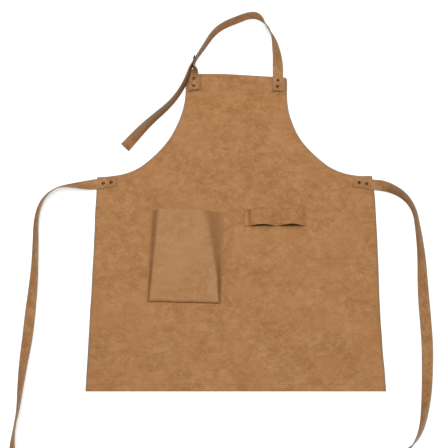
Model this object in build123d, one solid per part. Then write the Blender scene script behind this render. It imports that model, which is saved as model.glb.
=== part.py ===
from build123d import *
import math
import os

# Butcher apron lying flat on its back, front side up. Millimetres.
# +X to the right of someone looking at the front, +Y towards the bib, +Z out of the surface it lies on.
# Origin: middle of the body panel, on its back face.

# ---- driving dimensions ----
BODY_WIDTH = 645.0
BODY_HEIGHT = 751.0
BIB_WIDTH = 244.0
CLOTH = 1.6
HEM_FLARE = 3.5            # the skirt is this much wider at the hem, each side
WAIST_Y = 113.5            # height of the waist corners
ARMHOLE_TOP_Y = 340.0      # where the bib's straight side ends and the armhole curve starts
BIB_HEM = 20.0
BOTTOM_HEM = 16.0
HEM_RISE = 1.4             # the folded layer lifts the hem's face by this much

STRAP_WIDTH = 25.0
STRAP_THICKNESS = 2.4
TAB_PLY = 1.7
HINGE_GAP = 3.0

THREAD_WIDTH = 0.9
THREAD_HEIGHT = 0.4
EDGE_SEAM_INSET = 5.0

RIVET_POST_RADIUS = 1.6
RIVET_CAP_RADIUS = 4.0
RIVET_CAP_HEIGHT = 2.2
RIVET_WASHER_RADIUS = 4.0
RIVET_WASHER_HEIGHT = 0.7

POCKET_LEFT = -193.0
POCKET_RIGHT = -28.0
POCKET_BOTTOM = -181.0
POCKET_TOP = 30.0
POCKET_CLOTH = 1.4
POCKET_BULGE = 21.0        # height of the mouth above the body panel
POCKET_FOOT_BULGE = 7.0    # the same at the bottom seam

LOOP_BOTTOM = -2.0
LOOP_TOP = 36.0
LOOP_CLOTH = 1.8
LOOP_BULGE = 13.0
LOOP_SEAMS = [(22.0, 33.0), (91.5, 100.5), (155.0, 162.0)]     # the three sewn-down stretches, left to right

BAR_RADIUS = 1.6
FRAME_LENGTH = 18.0        # heel bar to far bar
FRAME_INSIDE = 27.0        # between the two rails
FRAME_BASE = 0.2
PRONG_WIDTH = 3.2
PRONG_THICKNESS = 2.0

half_width = BODY_WIDTH / 2
half_height = BODY_HEIGHT / 2
half_bib = BIB_WIDTH / 2
half_strap = STRAP_WIDTH / 2
half_thickness = STRAP_THICKNESS / 2

os.makedirs("parts", exist_ok=True)


def write(node, shape):
    solids = shape.solids()
    volume = sum(solid.volume for solid in solids)
    print(f"{node}: {len(solids)} solids, {volume:.0f} mm3")
    export_step(Compound(children=list(solids)) if len(solids) > 1 else solids[0], f"parts/{node}.step")


def slab(x_low, x_high, y_low, y_high, z_low, z_high):
    size = (x_high - x_low, y_high - y_low, z_high - z_low)
    return Pos((x_low + x_high) / 2, (y_low + y_high) / 2, (z_low + z_high) / 2) * Box(*size)


# ---- body panel ----
# The armhole is one Bezier curve: straight down at the bib, nearly level at the waist corner.
ARMHOLE = [
    (half_bib, ARMHOLE_TOP_Y),
    (half_bib, ARMHOLE_TOP_Y - 160.0),
    (half_width - 95.0, WAIST_Y + 9.5),
    (half_width, WAIST_Y),
]


def armhole_point(t, inset=0.0):
    """A point of the right armhole, moved towards the cloth by inset."""
    weights = [(1 - t) ** 3, 3 * t * (1 - t) ** 2, 3 * t ** 2 * (1 - t), t ** 3]
    slopes = [-3 * (1 - t) ** 2, 3 * (1 - t) * (1 - 3 * t), 3 * t * (2 - 3 * t), 3 * t ** 2]
    x, y = (sum(w * p[axis] for w, p in zip(weights, ARMHOLE)) for axis in (0, 1))
    dx, dy = (sum(w * p[axis] for w, p in zip(slopes, ARMHOLE)) for axis in (0, 1))
    length = math.hypot(dx, dy)
    return x + inset * dy / length, y - inset * dx / length


def mirrored(points):
    return [(-x, y) for x, y in points]


panel_edges = [
    Line((-half_width - HEM_FLARE, -half_height), (half_width + HEM_FLARE, -half_height)),
    Line((half_width + HEM_FLARE, -half_height), (half_width, WAIST_Y)),
    Bezier(*reversed(ARMHOLE)),
    Line((half_bib, ARMHOLE_TOP_Y), (half_bib, half_height)),
    Line((half_bib, half_height), (-half_bib, half_height)),
    Line((-half_bib, half_height), (-half_bib, ARMHOLE_TOP_Y)),
    Bezier(*mirrored(ARMHOLE)),
    Line((-half_width, WAIST_Y), (-half_width - HEM_FLARE, -half_height)),
]
body_panel = extrude(make_face(Curve() + panel_edges), CLOTH)
body_panel += slab(-half_bib, half_bib, half_height - BIB_HEM, half_height, 0, CLOTH + HEM_RISE)
hem_half = half_width + HEM_FLARE * (half_height + WAIST_Y - BOTTOM_HEM) / (half_height + WAIST_Y)
hem_outline = Polyline(
    (-hem_half, BOTTOM_HEM - half_height),
    (hem_half, BOTTOM_HEM - half_height),
    (half_width + HEM_FLARE, -half_height),
    (-half_width - HEM_FLARE, -half_height),
    close=True,
)
body_panel += extrude(make_face(hem_outline), CLOTH + HEM_RISE)

# ---- rivets ----
# Each pair holds one strap end. Layers: washer sunk in the panel's back, post, domed cap on the strap.
NECK_RIVETS = [(104.0, 361.0), (102.5, 345.0)]
TAB_RIVETS = [(-98.0, 365.0), (-97.8, 346.0)]
LEFT_TIE_RIVETS = [(-305.0, 99.8), (-287.0, 102.6)]
RIGHT_TIE_RIVETS = [(305.0, 98.6), (287.5, 101.5)]

BIB_FACE = CLOTH + HEM_RISE
STRAP_ON_CLOTH = CLOTH + STRAP_THICKNESS
STRAP_ON_BIB = CLOTH + HEM_RISE + STRAP_THICKNESS
TAB_ON_BIB = CLOTH + HEM_RISE + 2 * TAB_PLY


def rivet_caps(centres, top):
    """Low domes standing on a strap, cut from spheres."""
    dome_radius = (RIVET_CAP_RADIUS ** 2 + RIVET_CAP_HEIGHT ** 2) / (2 * RIVET_CAP_HEIGHT)
    caps = Part()
    keep = Box(3 * RIVET_CAP_RADIUS, 3 * RIVET_CAP_RADIUS, RIVET_CAP_HEIGHT)
    for x, y in centres:
        ball = Pos(x, y, top + RIVET_CAP_HEIGHT - dome_radius) * Sphere(dome_radius)
        caps += ball & Pos(x, y, top + RIVET_CAP_HEIGHT / 2) * keep
    return caps


def rivet_posts(centres, top):
    posts = Part()
    for x, y in centres:
        posts += Pos(x, y, top / 2) * Cylinder(RIVET_POST_RADIUS, top)
        posts += Pos(x, y, RIVET_WASHER_HEIGHT / 2) * Cylinder(RIVET_WASHER_RADIUS, RIVET_WASHER_HEIGHT)
    return posts


# The neck strap's end and the tab lie level with the folded hem all along, so both rivets of a pair have the
# same height, although the lower one goes through single cloth.
neck_posts = rivet_posts(NECK_RIVETS, STRAP_ON_BIB)
tab_posts = rivet_posts(TAB_RIVETS, TAB_ON_BIB)
left_tie_posts = rivet_posts(LEFT_TIE_RIVETS, STRAP_ON_CLOTH)
right_tie_posts = rivet_posts(RIGHT_TIE_RIVETS, STRAP_ON_CLOTH)
all_posts = neck_posts + tab_posts + left_tie_posts + right_tie_posts
body_panel -= all_posts
write("body_panel", body_panel)
for name, centres, top, posts in [
    ("neck", NECK_RIVETS, STRAP_ON_BIB, neck_posts),
    ("tab", TAB_RIVETS, TAB_ON_BIB, tab_posts),
    ("left_tie", LEFT_TIE_RIVETS, STRAP_ON_CLOTH, left_tie_posts),
    ("right_tie", RIGHT_TIE_RIVETS, STRAP_ON_CLOTH, right_tie_posts),
]:
    write(f"{name}_rivet_caps", rivet_caps(centres, top))
    write(f"{name}_rivet_posts", posts)

# ---- stitching ----
SEAM_STOP = 2.0            # a seam ends this far before the edge it runs towards
BIB_SEAM_LEFT = -84.0      # the bib's seam runs between the buckle tab and the neck strap's end
BIB_SEAM_RIGHT = 88.0
ARMHOLE_STEPS = 12
SIDE_SEAM_TOP = WAIST_Y - 34.0     # below the waist ties


def thread(points, z):
    """One thin run of thread along straight runs between points, lying on a face at height z."""
    run = Part()
    for (x_a, y_a), (x_b, y_b) in zip(points, points[1:]):
        length = math.hypot(x_b - x_a, y_b - y_a) + THREAD_WIDTH
        angle = math.degrees(math.atan2(y_b - y_a, x_b - x_a))
        place = Pos((x_a + x_b) / 2, (y_a + y_b) / 2, z + THREAD_HEIGHT / 2) * Rot(0, 0, angle)
        run += place * Box(length, THREAD_WIDTH, THREAD_HEIGHT)
    return run


hem_seam_y = BOTTOM_HEM - half_height - THREAD_WIDTH
bib_seam_y = half_height - BIB_HEM + THREAD_WIDTH
write("bottom_hem_stitching", thread([(-half_width, hem_seam_y), (half_width, hem_seam_y)], BIB_FACE))
write("bib_hem_stitching", thread([(BIB_SEAM_LEFT, bib_seam_y), (BIB_SEAM_RIGHT, bib_seam_y)], BIB_FACE))
edge_seam = [(half_bib - EDGE_SEAM_INSET, ARMHOLE_TOP_Y - 5 * SEAM_STOP)]
edge_seam += [armhole_point(i / ARMHOLE_STEPS, EDGE_SEAM_INSET) for i in range(1, ARMHOLE_STEPS - 1)]
side_seam = [
    (half_width - EDGE_SEAM_INSET, SIDE_SEAM_TOP),
    (half_width + HEM_FLARE - EDGE_SEAM_INSET, BOTTOM_HEM - half_height + SEAM_STOP),
]
for side, sign in (("right", 1), ("left", -1)):
    armhole_run, side_run = [[(sign * x, y) for x, y in seam] for seam in (edge_seam, side_seam)]
    write(f"{side}_edge_stitching", thread(armhole_run, CLOTH) + thread(side_run, CLOTH))

# ---- pocket ----
# Cross sections from the foot seam to the mouth: y, left crest x, right crest x, rise of each crest.
POCKET_SECTIONS = [
    (POCKET_BOTTOM, POCKET_LEFT + 5, POCKET_RIGHT - 5, POCKET_FOOT_BULGE, POCKET_FOOT_BULGE),
    (-50.0, POCKET_LEFT + 12, POCKET_RIGHT - 24, 15.0, 14.0),
    (POCKET_TOP, POCKET_LEFT + 21, POCKET_RIGHT - 56, POCKET_BULGE, POCKET_BULGE - 1),
]


def pocket_section(y, left, right, rise_left, rise_right, inset):
    """One trapezoid across the pocket, standing on the body panel, shrunk by inset at its sides and top."""
    corners = [
        (POCKET_LEFT + inset, CLOTH),
        (left + inset, CLOTH + rise_left - inset),
        (right - inset, CLOTH + rise_right - inset),
        (POCKET_RIGHT - inset, CLOTH),
    ]
    return make_face(Polyline(*[(x, y, z) for x, z in corners], close=True))


pocket_panel = loft([pocket_section(*section, 0) for section in POCKET_SECTIONS], ruled=True)
hollow_sections = [list(section) for section in POCKET_SECTIONS]
hollow_sections[0][0] += POCKET_CLOTH
hollow_sections[-1][0] += POCKET_CLOTH         # past the mouth, so that it is cut open
pocket_panel -= loft([pocket_section(*section, POCKET_CLOTH) for section in hollow_sections], ruled=True)
write("pocket_panel", pocket_panel)
SEAM_OUTSIDE = 1.2
pocket_seam = [
    (POCKET_LEFT - SEAM_OUTSIDE, POCKET_TOP - SEAM_STOP),
    (POCKET_LEFT - SEAM_OUTSIDE, POCKET_BOTTOM - SEAM_OUTSIDE),
    (POCKET_RIGHT + SEAM_OUTSIDE, POCKET_BOTTOM - SEAM_OUTSIDE),
    (POCKET_RIGHT + SEAM_OUTSIDE, POCKET_TOP - SEAM_STOP),
]
write("pocket_stitching", thread(pocket_seam, CLOTH))

# ---- tool loops ----
# One strip seen from its end: flat where it is sewn down, an arch between the seams.
strip_top = []
strip_under = []
for (_, start), (end, _) in zip(LOOP_SEAMS, LOOP_SEAMS[1:]):
    middle = (start + end) / 2
    for edges, level in ((strip_top, CLOTH + LOOP_CLOTH), (strip_under, CLOTH)):
        edges.append(ThreePointArc((start, 0, level), (middle, 0, level + LOOP_BULGE), (end, 0, level)))
for low, high in LOOP_SEAMS:
    strip_top.append(Line((low, 0, CLOTH + LOOP_CLOTH), (high, 0, CLOTH + LOOP_CLOTH)))
    strip_under.append(Line((low, 0, CLOTH), (high, 0, CLOTH)))
strip_ends = [Line((x, 0, CLOTH), (x, 0, CLOTH + LOOP_CLOTH)) for x in (LOOP_SEAMS[0][0], LOOP_SEAMS[-1][1])]
strip_profile = make_face(Curve() + strip_top + strip_under + strip_ends)
tool_loop_strip = Pos(0, LOOP_BOTTOM, 0) * extrude(strip_profile, LOOP_TOP - LOOP_BOTTOM, dir=(0, 1, 0))
write("tool_loop_strip", tool_loop_strip)
loop_threads = Part()
for low, high in LOOP_SEAMS:
    seam_x = (low + high) / 2
    loop_threads += thread([(seam_x, LOOP_BOTTOM + SEAM_STOP), (seam_x, LOOP_TOP - SEAM_STOP)], CLOTH + LOOP_CLOTH)
write("tool_loop_stitching", loop_threads)

# ---- straps ----
# A strap's route is a list of (x, y, roll, ground): roll is the turn about its own line in degrees, 0 flat with
# the good side up and positive towards its left-hand side; ground is the height that its lower edge rests on.
RUN_SHARE = 0.45


def corner_radii(route):
    """The radius at each inner point: its arc takes 0.45 of the shorter of its two runs."""
    radii = []
    for before, here, after in zip(route, route[1:], route[2:]):
        arriving = Vector(here[0] - before[0], here[1] - before[1])
        leaving = Vector(after[0] - here[0], after[1] - here[1])
        half_turn = math.radians(arriving.get_angle(leaving)) / 2
        radii.append(RUN_SHARE * min(arriving.length, leaving.length) / math.tan(half_turn))
    return radii


def strap_height(roll, ground):
    turn = math.radians(roll)
    return ground + half_strap * abs(math.sin(turn)) + half_thickness * abs(math.cos(turn))


def strap(name, route, step=12.0):
    """A flat strap along straight runs joined by tangent arcs, rolling evenly from point to point."""
    radii = corner_radii(route)
    print(f"{name}: radii {[round(radius) for radius in radii]}")
    path = FilletPolyline(*[(x, y) for x, y, _, _ in route], radius=radii)
    runs = [math.hypot(b[0] - a[0], b[1] - a[1]) for a, b in zip(route, route[1:])]
    stations = [sum(runs[:i]) / sum(runs) for i in range(len(route))]
    count = math.ceil(path.length / step)
    sections = []
    for i in range(count + 1):
        share = i / count
        leg = max(j for j in range(len(runs)) if share >= stations[j])
        along = (share - stations[leg]) / (stations[leg + 1] - stations[leg])
        roll = route[leg][2] + along * (route[leg + 1][2] - route[leg][2])
        ground = route[leg][3] + along * (route[leg + 1][3] - route[leg][3])
        at = path.position_at(share)
        ahead = path.tangent_at(share)
        left = Vector(0, 0, 1).cross(ahead)
        turn = math.radians(roll)
        good_side = Vector(0, 0, 1) * math.cos(turn) + left * math.sin(turn)
        across = ahead.cross(good_side)
        place = Plane(origin=(at.X, at.Y, strap_height(roll, ground)), x_dir=across, z_dir=ahead)
        sections.append(place * Rectangle(STRAP_WIDTH, STRAP_THICKNESS))
    solid = loft(sections, ruled=True)
    expected = path.length * STRAP_WIDTH * STRAP_THICKNESS
    print(f"{name}: {path.length:.0f} mm long, volume {solid.volume / expected:.3f} of section times length")
    return solid


# ---- buckle ----
# It stands on its edge beside the bib's left corner. The strap runs straight through it.
HEEL = Vector(-97.0, 393.0)
STRAP_UP = Vector(0.486, 0.874)                     # the strap's line through the buckle, going up
STRAP_SIDE = Vector(STRAP_UP.Y, -STRAP_UP.X)        # to the right of that line
FAR_BAR = HEEL + Vector(0.054, 0.9985) * FRAME_LENGTH
RAIL_LOW = FRAME_BASE + BAR_RADIUS
RAIL_HIGH = RAIL_LOW + FRAME_INSIDE + 2 * BAR_RADIUS
BUCKLE_MIDDLE = (RAIL_LOW + RAIL_HIGH) / 2
TAB_RING = BAR_RADIUS + 0.06
TAB_RING_OUTSIDE = TAB_RING + TAB_PLY
STRAP_CLEARANCE = 0.3
heel_strap = HEEL - STRAP_SIDE * (TAB_RING_OUTSIDE + STRAP_CLEARANCE + half_thickness)
STRAP_GROUND = BUCKLE_MIDDLE - half_strap


def bar_between(start, end, radius):
    direction = end - start
    return Plane(origin=(start + end) / 2, z_dir=direction) * Cylinder(radius, direction.length)


corners = [
    Vector(HEEL.X, HEEL.Y, RAIL_LOW),
    Vector(FAR_BAR.X, FAR_BAR.Y, RAIL_LOW),
    Vector(FAR_BAR.X, FAR_BAR.Y, RAIL_HIGH),
    Vector(HEEL.X, HEEL.Y, RAIL_HIGH),
]
buckle_frame = Part()
for start, end in zip(corners, corners[1:] + corners[:1]):
    buckle_frame += bar_between(start, end, BAR_RADIUS)
    buckle_frame += Pos(*start) * Sphere(BAR_RADIUS)
write("buckle_frame", buckle_frame)

# Prong: a ring round the heel bar and an arm that rests on the left of the far bar.
PRONG_RING = BAR_RADIUS + 0.05
PRONG_RING_OUTSIDE = 2.9
PRONG_REST_GAP = 0.05
prong_rest = FAR_BAR + Vector(-1, 0, 0) * (BAR_RADIUS + PRONG_REST_GAP + PRONG_THICKNESS / 2)
prong_way = (prong_rest - HEEL).normalized()
prong_tip = prong_rest + prong_way * 3.0
arm_middle = (HEEL + prong_tip) / 2
arm_angle = math.degrees(math.atan2(prong_way.Y, prong_way.X))
arm_length = (prong_tip - HEEL).length
buckle_prong = Pos(arm_middle.X, arm_middle.Y, BUCKLE_MIDDLE) * Rot(0, 0, arm_angle)
buckle_prong = buckle_prong * Box(arm_length, PRONG_THICKNESS, PRONG_WIDTH)
buckle_prong += Pos(HEEL.X, HEEL.Y, BUCKLE_MIDDLE) * Cylinder(PRONG_RING_OUTSIDE, PRONG_WIDTH)
buckle_prong -= Pos(HEEL.X, HEEL.Y, BUCKLE_MIDDLE) * Cylinder(PRONG_RING, PRONG_WIDTH + 2)
write("buckle_prong", buckle_prong)

# Tab: two plies lie on the bib under the rivets, turn on edge together, and fold round the heel bar.
TAB_FOOT_Y = 333.5
TAB_EDGE = Vector(-97.5, 374.0)
TAB_TWIST_STEPS = 6
TAB_NECK = 5.0             # the stretch next to the bar that is already on edge
tab_thickness = 2 * TAB_PLY


def tab_section(x, y, roll):
    turn = math.radians(roll)
    height = BIB_FACE * (1 - roll / 90) + STRAP_GROUND * roll / 90
    height += half_strap * math.sin(turn) + TAB_PLY * math.cos(turn)
    good_side = Vector(-math.sin(turn), 0, math.cos(turn))
    place = Plane(origin=(x, y, height), x_dir=Vector(0, 1, 0).cross(good_side), z_dir=(0, 1, 0))
    return place * Rectangle(STRAP_WIDTH, tab_thickness)


tab_sections = []
for i in range(TAB_TWIST_STEPS + 1):
    share = i / TAB_TWIST_STEPS
    x = TAB_EDGE.X + share * (HEEL.X - TAB_EDGE.X)
    y = TAB_EDGE.Y + share * (HEEL.Y - TAB_NECK - TAB_EDGE.Y)
    tab_sections.append(tab_section(x, y, 90 * share))
tab_twist = loft(tab_sections, ruled=True)
tab_flat = extrude(tab_section(TAB_EDGE.X, TAB_EDGE.Y, 0), TAB_EDGE.Y - TAB_FOOT_Y, dir=(0, -1, 0)) - tab_posts
tab_fold = Pos(HEEL.X, HEEL.Y - TAB_NECK / 2, BUCKLE_MIDDLE) * Box(tab_thickness, TAB_NECK, STRAP_WIDTH)
tab_fold += Pos(HEEL.X, HEEL.Y, BUCKLE_MIDDLE) * Cylinder(TAB_RING_OUTSIDE, STRAP_WIDTH)
tab_fold -= Pos(HEEL.X, HEEL.Y, BUCKLE_MIDDLE) * Cylinder(TAB_RING, STRAP_WIDTH + 2)
PRONG_SLOT_HEIGHT = PRONG_WIDTH + 1.6
tab_fold -= Pos(HEEL.X, HEEL.Y, BUCKLE_MIDDLE) * Cylinder(TAB_RING_OUTSIDE + 0.5, PRONG_SLOT_HEIGHT)
write("buckle_tab", tab_flat + tab_twist + tab_fold)


# ---- neck strap ----
def end_strap(x_low, x_high, y_low, y_high, ground, posts, turn=0.0):
    middle = Pos((x_low + x_high) / 2, (y_low + y_high) / 2, ground + half_thickness) * Rot(0, 0, turn)
    return middle * Box(x_high - x_low, y_high - y_low, STRAP_THICKNESS) - posts


FLOOR_GAP = 0.3            # a strap's lower edge stays this far above the surface
STRAP_ON_HEM = BIB_FACE + FLOOR_GAP
BUCKLED_LENGTH = 27.0      # straight stretch of strap from the heel bar up
TAIL_START = heel_strap + STRAP_UP * BUCKLED_LENGTH
NECK_STRAP_START = heel_strap + STRAP_UP * (BUCKLED_LENGTH + HINGE_GAP)
neck_strap_end = end_strap(91.5, 116.5, 333.5, 376.5, BIB_FACE, neck_posts)
write("neck_strap_end", neck_strap_end)
NECK_ROUTE = [
    (104.2, 379.5, 0, BIB_FACE),
    (104.2, 398.0, 20, BIB_FACE),
    (102.5, 425.0, 45, FLOOR_GAP),
    (98.5, 452.0, 62, FLOOR_GAP),
    (91.0, 478.0, 84, FLOOR_GAP),
    (80.5, 500.0, 98, FLOOR_GAP),
    (66.0, 518.0, 90, FLOOR_GAP),
    (48.0, 529.5, 80, FLOOR_GAP),
    (28.0, 529.5, 78, FLOOR_GAP),
    (7.0, 518.5, 74, FLOOR_GAP),
    (-14.0, 508.5, 75, FLOOR_GAP),
    (-37.0, 494.5, 77, FLOOR_GAP),
    (-55.5, 475.0, 78, FLOOR_GAP),
    (-70.0, 449.5, 82, 2.5),
    (NECK_STRAP_START.X, NECK_STRAP_START.Y, 90, STRAP_GROUND),
]
neck_strap = strap("neck_strap", NECK_ROUTE, step=10.0)
TAIL_ROUTE = [
    (TAIL_START.X, TAIL_START.Y, 90, STRAP_GROUND),
    (heel_strap.X, heel_strap.Y, 90, STRAP_GROUND),
    (-111.8, 379.5, 90, STRAP_ON_HEM),
    (-117.5, 362.5, 88, STRAP_ON_HEM),
    (-123.5, 342.5, 84, 2.8),
    (-136.0, 317.0, 80, FLOOR_GAP),
    (-158.0, 289.0, 77, FLOOR_GAP),
    (-194.0, 256.0, 67, FLOOR_GAP),
    (-227.0, 222.0, 50, FLOOR_GAP),
    (-257.0, 186.5, 28, FLOOR_GAP),
]
strap_tail = strap("strap_tail", TAIL_ROUTE, step=10.0)

# The prong's hole, long enough for the prong to lean. Its ends are measured up the strap from the heel bar.
HOLE_RADIUS = 2.3
SLOT_START = 0.5
SLOT_END = 12.0
TOOL_LENGTH = 20.0
slot_middle = heel_strap + STRAP_UP * (SLOT_START + SLOT_END) / 2
slot_reach = (SLOT_END - SLOT_START) / 2 - HOLE_RADIUS
prong_slot = Box(2 * slot_reach, TOOL_LENGTH, 2 * HOLE_RADIUS)
for along in (-slot_reach, slot_reach):
    prong_slot += Pos(along, 0, 0) * Cylinder(HOLE_RADIUS, TOOL_LENGTH, rotation=(90, 0, 0))
strap_turn = math.degrees(math.atan2(STRAP_UP.Y, STRAP_UP.X))
strap_tail -= Pos(slot_middle.X, slot_middle.Y, BUCKLE_MIDDLE) * Rot(0, 0, strap_turn) * prong_slot
write("strap_tail", strap_tail)
write("neck_strap", neck_strap)

# ---- waist ties ----
LEFT_TIE_TURN = -9.0
RIGHT_TIE_TURN = -9.5
left_tie_end = end_strap(-321.5, -274.0, 88.7, 113.7, CLOTH, left_tie_posts, -LEFT_TIE_TURN)
write("left_tie_end", left_tie_end)
right_tie_end = end_strap(274.0, 321.5, 87.6, 112.6, CLOTH, right_tie_posts, RIGHT_TIE_TURN)
write("right_tie_end", right_tie_end)
LEFT_TIE_ROUTE = [
    (-324.7, 97.0, 0, CLOTH),
    (-340.0, 94.6, -15, 1.2),
    (-360.0, 92.8, -38, FLOOR_GAP),
    (-384.0, 91.5, -58, FLOOR_GAP),
    (-410.0, 87.5, -70, FLOOR_GAP),
    (-434.0, 69.5, -62, FLOOR_GAP),
    (-448.0, 44.0, -57, FLOOR_GAP),
    (-454.0, 8.0, -56, FLOOR_GAP),
    (-452.0, -40.0, -50, FLOOR_GAP),
    (-450.5, -95.0, -43, FLOOR_GAP),
    (-452.0, -150.0, -28, FLOOR_GAP),
    (-455.5, -205.0, -12, FLOOR_GAP),
    (-458.0, -260.0, -14, FLOOR_GAP),
    (-463.0, -315.0, -32, FLOOR_GAP),
    (-465.5, -370.0, -50, FLOOR_GAP),
    (-467.0, -415.0, -66, FLOOR_GAP),
    (-473.0, -455.0, -72, FLOOR_GAP),
    (-475.0, -492.0, -54, FLOOR_GAP),
    (-473.0, -533.0, -36, FLOOR_GAP),
    (-467.0, -577.0, -16, FLOOR_GAP),
    (-462.0, -620.0, -5, FLOOR_GAP),
    (-459.0, -661.0, 0, FLOOR_GAP),
]
RIGHT_TIE_ROUTE = [
    (324.7, 95.6, 0, CLOTH),
    (338.0, 92.6, -30, 1.0),
    (356.0, 86.5, -52, FLOOR_GAP),
    (380.0, 73.5, -67, FLOOR_GAP),
    (399.5, 53.0, -80, FLOOR_GAP),
    (411.0, 27.0, -84, FLOOR_GAP),
    (414.5, -5.0, -79, FLOOR_GAP),
    (417.5, -42.0, -70, FLOOR_GAP),
    (419.3, -85.0, -57, FLOOR_GAP),
    (418.6, -130.0, -42, FLOOR_GAP),
    (419.2, -175.0, -26, FLOOR_GAP),
    (420.8, -225.0, -16, FLOOR_GAP),
    (421.0, -275.0, -24, FLOOR_GAP),
    (417.5, -325.0, -32, FLOOR_GAP),
    (413.0, -372.0, -44, FLOOR_GAP),
    (406.5, -412.0, -60, FLOOR_GAP),
    (399.0, -446.0, -76, FLOOR_GAP),
    (387.0, -474.0, -88, FLOOR_GAP),
    (369.0, -496.0, -103, FLOOR_GAP),
    (342.0, -512.0, -120, FLOOR_GAP),
    (308.0, -521.0, -145, FLOOR_GAP),
    (270.0, -524.0, -168, FLOOR_GAP),
    (230.0, -521.5, -180, FLOOR_GAP),
    (191.0, -517.5, -180, FLOOR_GAP),
    (174.0, -515.0, -180, FLOOR_GAP),
]
write("left_tie", strap("left_tie", LEFT_TIE_ROUTE))
write("right_tie", strap("right_tie", RIGHT_TIE_ROUTE))
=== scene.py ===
# %% [markdown]
# # A butcher's apron in waxed leather
# The apron lies on its back on a white table. Its hard frame (sizes, rivets, buckle, joints) was drawn in CAD and
# packed, and this lesson dresses it: each step says what a piece is on the real apron, how it could be made, and
# why it is made this way. All lengths are metres. +X is to the right, +Y towards the bib, +Z out of the table.

# %% Load the frame
import math
import bmesh
import bpy
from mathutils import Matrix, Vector, noise


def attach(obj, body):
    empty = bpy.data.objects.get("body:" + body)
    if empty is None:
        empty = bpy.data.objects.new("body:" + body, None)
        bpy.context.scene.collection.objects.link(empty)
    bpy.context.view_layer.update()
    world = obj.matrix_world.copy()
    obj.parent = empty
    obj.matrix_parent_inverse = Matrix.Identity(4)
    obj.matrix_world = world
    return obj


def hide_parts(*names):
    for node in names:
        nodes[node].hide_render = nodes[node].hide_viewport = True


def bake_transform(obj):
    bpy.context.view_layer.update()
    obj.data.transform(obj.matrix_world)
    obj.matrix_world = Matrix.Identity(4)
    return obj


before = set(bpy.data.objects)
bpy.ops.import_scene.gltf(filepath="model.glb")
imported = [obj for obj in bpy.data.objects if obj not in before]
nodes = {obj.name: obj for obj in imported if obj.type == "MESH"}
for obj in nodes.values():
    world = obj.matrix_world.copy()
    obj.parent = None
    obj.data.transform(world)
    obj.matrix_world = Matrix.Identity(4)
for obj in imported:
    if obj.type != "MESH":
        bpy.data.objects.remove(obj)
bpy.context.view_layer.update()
MM = 0.001

# %% [markdown]
# ## The camera
# The apron is seen from in front and nearly from above, 74 degrees above the table, from two metres away with a
# lens of about 70 mm. The camera is aimed with a quaternion, so that its up direction stays towards the bib.

# %% Camera
scene = bpy.context.scene
CAMERA_PLACE = Vector((-0.0254, -0.5488, 1.9225))
CAMERA_TARGET = Vector((-0.0254, 0.0025, 0.0))


def aimed(name, data, place, target):
    """An object that looks along its own -Z, as cameras and lamps do, at a target."""
    made = bpy.data.objects.new(name, data)
    made.location = place
    made.rotation_mode = "QUATERNION"
    made.rotation_quaternion = (Vector(target) - Vector(place)).to_track_quat("-Z", "Y")
    scene.collection.objects.link(made)
    return made


camera_data = bpy.data.cameras.new("camera")
camera_data.lens = 70.2
camera_data.sensor_width = 36.0
bpy.context.scene.camera = aimed("camera", camera_data, CAMERA_PLACE, CAMERA_TARGET)
print("camera distance:", round((CAMERA_TARGET - CAMERA_PLACE).length, 3))

# %% [markdown]
# ## Table and light
# The main light is a large soft box straight above the apron, so that steep flanks and the gaps under the tool loops
# turn dark. A weaker window behind the bib puts a glint on each rivet, and an even sky fills the shadows. The table
# is white and glows a little by itself, as a light table does, so that the shadows on it stay pale.

# %% Table, sky and lights
scene.view_settings.view_transform = "Standard"
SKY_STRENGTH = 0.26
world = bpy.data.worlds.new("sky")
world.use_nodes = True
sky = world.node_tree.nodes["Background"].inputs
sky["Color"].default_value = (1.0, 1.0, 1.0, 1.0)
sky["Strength"].default_value = SKY_STRENGTH
scene.world = world


def area_light(name, place, size, power):
    data = bpy.data.lights.new(name, "AREA")
    data.shape = "SQUARE"
    data.size = size
    data.energy = power
    aimed(name, data, place, (0.0, 0.0, 0.0)).visible_camera = False


area_light("soft_box", (0.0, 0.15, 4.4), 2.2, 130.0)
area_light("window", (-0.45, 2.1, 2.9), 1.2, 26.0)
table_mesh = bpy.data.meshes.new("table")
TABLE_REACH = 60.0
TABLE_DROP = -0.0008       # the table lies just under the hide, so that the two faces never flicker
table_corners = [(x * TABLE_REACH, y * TABLE_REACH, TABLE_DROP) for x, y in ((-1, -1), (1, -1), (1, 1), (-1, 1))]
table_mesh.from_pydata(table_corners, [], [(0, 1, 2, 3)])
table = bpy.data.objects.new("table", table_mesh)
scene.collection.objects.link(table)

# %% [markdown]
# ## Writing materials as sums
# A material is a network of nodes. Wiring each sum by hand hides what it does, so one small class wraps a socket
# and lets Python's own signs add the Math nodes, and one method makes any other node.

# %% Shader helpers
class Value:
    """A socket that carries one number, written in sums with + - and *."""

    def __init__(self, paint, socket):
        self.paint = paint
        self.socket = socket

    def sum(self, operation, first, second):
        return self.paint.node("ShaderNodeMath", {"operation": operation}, {0: first, 1: second})

    def __add__(self, other):
        return self.sum("ADD", self, other)

    __radd__ = __add__

    def __sub__(self, other):
        return self.sum("SUBTRACT", self, other)

    def __mul__(self, other):
        return self.sum("MULTIPLY", self, other)

    __rmul__ = __mul__


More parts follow.
